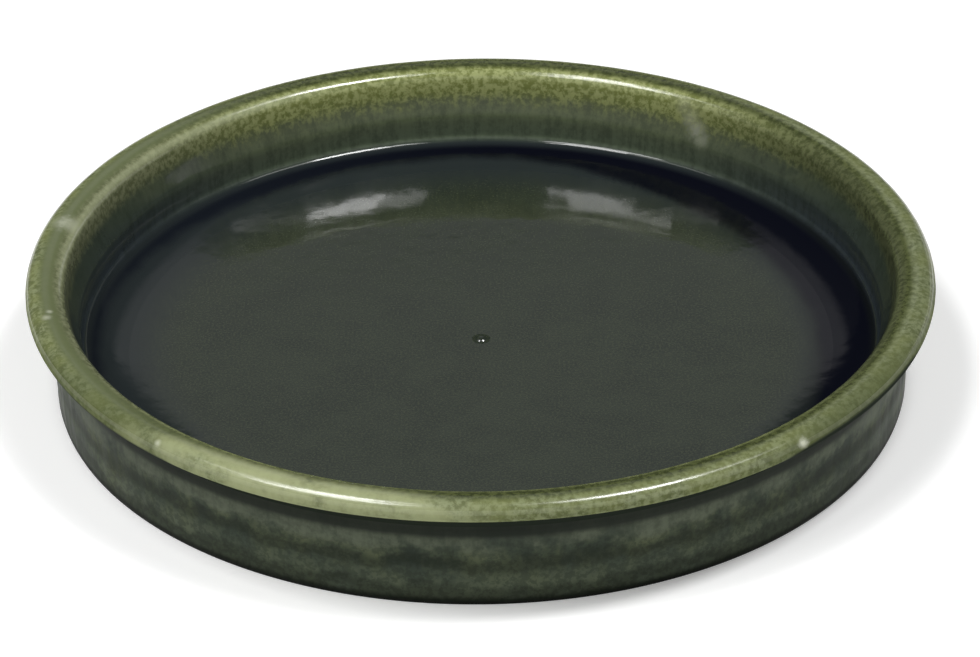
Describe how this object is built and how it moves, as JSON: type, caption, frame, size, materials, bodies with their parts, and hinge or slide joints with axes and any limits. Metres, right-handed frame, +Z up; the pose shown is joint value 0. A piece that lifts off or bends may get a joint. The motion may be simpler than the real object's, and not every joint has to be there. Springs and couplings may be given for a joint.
{
  "type": "plant saucer",
  "caption": "Round glazed stoneware plant saucer with a rolled lip, a leaning inner wall, a flat floor ringed by pooled glaze and a foot ring, to catch water under a pot.",
  "frame": {"origin": "on the ground at the centre of the foot ring", "axes": "+Z up along the saucer's axis, out of the open top; the saucer is round, so X and Y are free"},
  "size_m": [0.2, 0.2, 0.0275],
  "materials": {
    "bare_stoneware": "matte fired clay, unglazed",
    "dark_green_glaze": "glossy dark green glaze with fine mottle",
    "pooled_navy_glaze": "glossy, thick, navy-black where it pooled",
    "olive_rim_glaze": "glossy olive glaze, mottled and speckled"
  },
  "bodies": {
    "root": {"stoneware_body": "bare_stoneware", "floor_glaze": "dark_green_glaze", "pooled_glaze_ring": "pooled_navy_glaze", "inner_wall_glaze": "dark_green_glaze", "rim_glaze": "olive_rim_glaze", "outer_wall_glaze": "dark_green_glaze"}
  },
  "joints": []
}
